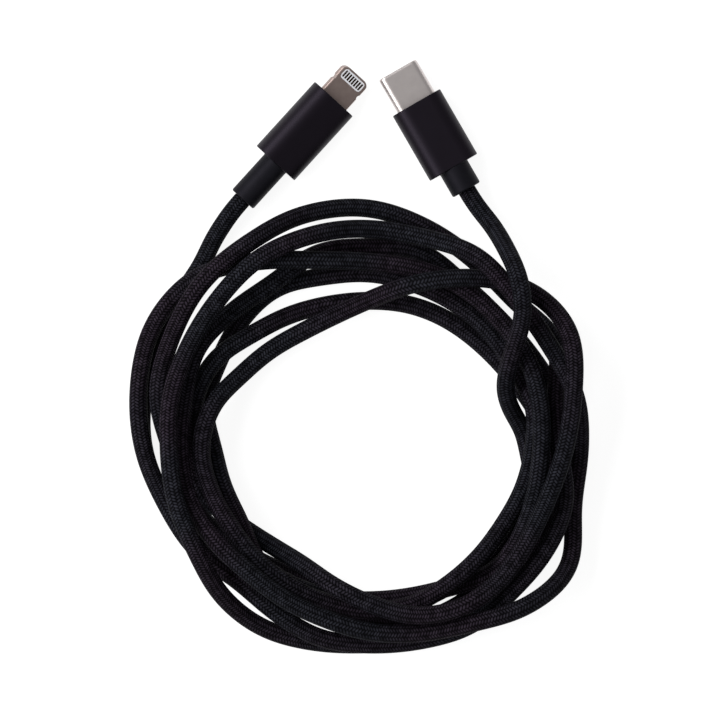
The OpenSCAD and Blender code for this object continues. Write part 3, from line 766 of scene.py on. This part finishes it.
# %% The plugs' new pieces in the frame
new_pieces = [
    (oval_shell, "oval_shell", "shell_metal"),
    (tab_housing, "tab_plug_housing", "housing"),
    (oval_housing, "oval_plug_housing", "housing"),
    (tab_sleeve, "tab_strain_sleeve", "sleeve"),
    (oval_sleeve, "oval_strain_sleeve", "sleeve"),
]
for piece, node, name in new_pieces:
    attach(piece, "root")
    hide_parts(node)
    print(piece.name, "takes the place of", node)

# %% [markdown]
# ## Finish of the housings and sleeves
#
# Moulded plastic takes over the surface of its mould. Here that is a very fine grain, too fine to be seen
# by itself, and it turns a shiny black into a satin one. Roughness alone could do that, but then every
# highlight has the same soft border. So a noise of the grain's size swings the roughness a little and lifts
# the surface by a few thousandths of a millimetre, and a wider one shifts the tone between two near
# colours. Every piece but the cord has this one recipe with its own values, on Object coordinates, so that
# the grain keeps its size on any of them.

# %% Moulded black pieces
CLOUD_GRAINS = 25


def grained(name, tones, roughness, grain_mm, depth_mm, spread, metallic=0.0, specular=0.5, tint="#ffffff"):
    """A finely grained surface between two tones.

    grain_mm and depth_mm are the grain's size and depth, and spread is how far the roughness swings."""
    material, tree, shader = new_material(name)
    place = add_node(tree, "TexCoord", result="Object")
    fine = {"Vector": place, "Scale": 1 / (grain_mm * MM), "Detail": 3.0}
    wide = {"Vector": place, "Scale": 1 / (CLOUD_GRAINS * grain_mm * MM), "Detail": 2.0}
    grain = add_node(tree, "TexNoise", sockets=fine, result="Fac")
    cloud = add_node(tree, "TexNoise", sockets=wide, result="Fac")
    tone = add_node(tree, "ValToRGB", cloud, stops=[(0.3, tones[0]), (0.7, tones[1])])
    rough = add_node(tree, "Math", grain, spread, roughness - spread / 2, operation="MULTIPLY_ADD")
    bump = add_node(tree, "Bump", sockets={"Height": grain, "Strength": 0.5, "Distance": depth_mm * MM})
    fill(tree, shader, {"Base Color": tone, "Roughness": rough, "Normal": bump, "Metallic": metallic})
    fill(tree, shader, {"Specular IOR Level": specular, "Specular Tint": colour(tint)})
    return material


looks = {"braid": braid}
# Hard black plastic, moulded with a satin grain: near black, with a broad dull sheen on each rounded edge.
looks["housing"] = grained(
    "housing_moulded_satin", ("#080509", "#0a070c"), 0.46, 0.12, 0.003, 0.06, specular=0.25, tint="#f2e2ff"
)
# Soft elastomer, moulded over the cord: a shade greyer than the housing, with hardly a highlight.
looks["sleeve"] = grained(
    "sleeve_elastomer", ("#111115", "#16161a"), 0.5, 0.10, 0.004, 0.08, specular=0.12, tint="#eee6ff"
)
print("finishes so far", sorted(looks))

# %% [markdown]
# ## Metals
#
# A metal shows its surroundings, tinted by its own colour, and how clearly it does so tells how its surface
# was made. Metallic is 1 and the IOR stays at its default. What is matched is the tone of the plating and
# the roughness that blasting, drawing or stamping leaves.

# %% Metals
# Plated steel with a blasted face: a dull, warm grey that mirrors nothing clearly.
looks["tab_metal"] = grained("tab_plated_steel", ("#a6948f", "#af9e98"), 0.42, 0.06, 0.0006, 0.06, 1.0)
# Nickel-plated steel, drawn and tumbled: brighter, with a soft band of light that follows the oval.
looks["shell_metal"] = grained(
    "shell_nickel_plated_steel", ("#d8d0ce", "#ded6d4"), 0.4, 0.06, 0.0008, 0.06, 1.0
)
# Tinned sheet, folded to a can: a plain grey shine, slightly wavy.
looks["can_metal"] = grained("can_tinned_steel", ("#b8b8b8", "#c4c4c4"), 0.35, 0.08, 0.003, 0.1, 1.0)
# Nickel-plated spring strip, stamped: a little warmer and clearer than the can.
looks["spring_steel"] = grained("spring_nickel_plated", ("#bdbab6", "#c8c5c1"), 0.3, 0.08, 0.003, 0.1, 1.0)
# A flash of gold over dark nickel, on stamped strip: brown bars that turn gold where the light meets them.
looks["contact_gold"] = grained(
    "contact_flash_gold_on_dark_nickel", ("#3a2c22", "#463629"), 0.3, 0.05, 0.002, 0.08, 1.0
)
print("finishes so far", sorted(looks))

# %% [markdown]
# ## Insulators and inner pieces
#
# The insulators carry the contacts and show in the tab's window and the shell's mouth. All the rest sits
# inside the plugs. It is seen only when someone takes a plug apart, and then each piece should be told from
# the next, so each has its usual colour. They are plain moulded, printed or fired surfaces, and the same
# recipe does.

# %% Insulators and inner pieces
# White polymer, moulded smooth: an even, bright ground for the contacts.
looks["insulator_white"] = grained("insulator_white_polymer", ("#f1f2f8", "#f7f7fb"), 0.5, 0.08, 0.002, 0.1)
# Glass-filled black polymer, moulded: dark and dry, a little grey in the light.
looks["insulator_black"] = grained("insulator_black_polymer", ("#17171b", "#1e1e22"), 0.5, 0.08, 0.002, 0.1)
# Solder mask printed on glass laminate: deep green with a soft gloss.
looks["board"] = grained("board_solder_mask", ("#0f4a2a", "#135833"), 0.4, 0.10, 0.002, 0.08)
# Epoxy moulded round the chip: matt and nearly black.
looks["chip"] = grained("chip_epoxy", ("#18181a", "#202022"), 0.5, 0.08, 0.002, 0.08)
# Fired ceramic of the capacitors: matt tan.
looks["ceramic"] = grained("capacitor_ceramic", ("#8f6f4c", "#a3835e"), 0.5, 0.08, 0.002, 0.08)
# Cream moulding cast round can and cord: pale, waxy and even.
looks["mould"] = grained("inner_moulding", ("#d6d3c4", "#dfdccf"), 0.5, 0.15, 0.003, 0.1)
# Insulation extruded over the cores: smooth red with a soft shine.
looks["core"] = grained("core_insulation", ("#8e1f1a", "#a02822"), 0.45, 0.10, 0.002, 0.08)
print("finishes", len(looks))

# %% Each piece gets its finish
slots = {s["node"]: s["material_slot"] for s in frame["record"]["subparts"]}
for node, made in node_object.items():
    made.data.materials.clear()
    made.data.materials.append(looks[slots[node]])
for piece, _, name in new_pieces:
    piece.data.materials.append(looks[name])
print("packed pieces", len(node_object), "and the plugs' new pieces", len(new_pieces), "have their finish")

# %% [markdown]
# ## Table
#
# The cable lies on a white table. Enough light to make a table pure white would turn the dark cord grey. So
# the floor shines a little by itself, and only camera, mirror and glass rays see that: it is white to the
# eye and in the shell, and yet it lights nothing. Its own colour is a mid grey, which takes the soft
# shadows of the cord and lets little light bounce up. A transparent shadow catcher would need compositing
# for the same.

# %% Table
FLOOR_HALF = 600
FLOOR_GLOW = 0.90
MOTTLE_MM = 25
floor_corners = [(-1, -1), (1, -1), (1, 1), (-1, 1)]
floor_verts = [(x * FLOOR_HALF, y * FLOOR_HALF, 0) for x, y in floor_corners]
floor = new_piece("floor", floor_verts, [(0, 1, 2, 3)])
# Painted board, rolled on: dull and even, with the faintest cloud in its tone.
white, tree, shader = new_material("table_white")
place = add_node(tree, "TexCoord", result="Object")
clouds = {"Vector": place, "Scale": 1 / (MOTTLE_MM * MM), "Detail": 2.0}
mottle = add_node(tree, "TexNoise", sockets=clouds, result="Fac")
paint = add_node(tree, "ValToRGB", mottle, stops=[(0.0, "#8a8a8a"), (1.0, "#909090")])
seen = add_node(tree, "LightPath").node.outputs
mirrored = add_node(tree, "Math", seen["Is Glossy Ray"], seen["Is Transmission Ray"], operation="MAXIMUM")
looked_at = add_node(tree, "Math", seen["Is Camera Ray"], mirrored, operation="MAXIMUM")
glow = add_node(tree, "Math", looked_at, FLOOR_GLOW, operation="MULTIPLY")
fill(tree, shader, {"Base Color": paint, "Roughness": 0.9, "Specular IOR Level": 0.1})
fill(tree, shader, {"Emission Color": colour("#ffffff"), "Emission Strength": glow})
floor.data.materials.append(white)
print("floor", 2 * FLOOR_HALF, "mm wide")

# %% [markdown]
# ## Light
#
# One wide soft panel stands at the left, as a window would. It draws the broad sheen along the left side of
# each housing and brings out the floats on that side of the cord. The white room fills in the rest, weakly,
# so that the other sides go dark without going black. A second lamp would add a rim that the cable doesn't
# have. The panel is aimed by turning its own -Z axis at a point on the table.

# %% Panel and room
PANEL_AT = np.array([-520, 60, 628]) * MM
PANEL_AIM = np.array([0, -40, 0]) * MM
PANEL_LONG = 1000
PANEL_DEEP = 440
PANEL_WATTS = 6.6
ROOM_STRENGTH = 0.33
panel = bpy.data.lights.new("panel_left", "AREA")
panel.shape = "RECTANGLE"
panel.size = PANEL_LONG * MM
panel.size_y = PANEL_DEEP * MM
panel.energy = PANEL_WATTS
lamp = bpy.data.objects.new("panel_left", panel)
lamp.location = PANEL_AT
lamp.rotation_euler = Vector(PANEL_AIM - PANEL_AT).to_track_quat("-Z", "Y").to_euler()
bpy.context.collection.objects.link(lamp)
world = bpy.data.worlds.new("room")
bpy.context.scene.world = world
world.use_nodes = True
room = world.node_tree.nodes["Background"]
fill(world.node_tree, room, {"Color": colour("#ffffff"), "Strength": ROOM_STRENGTH})
print("lights", len(bpy.data.lights))
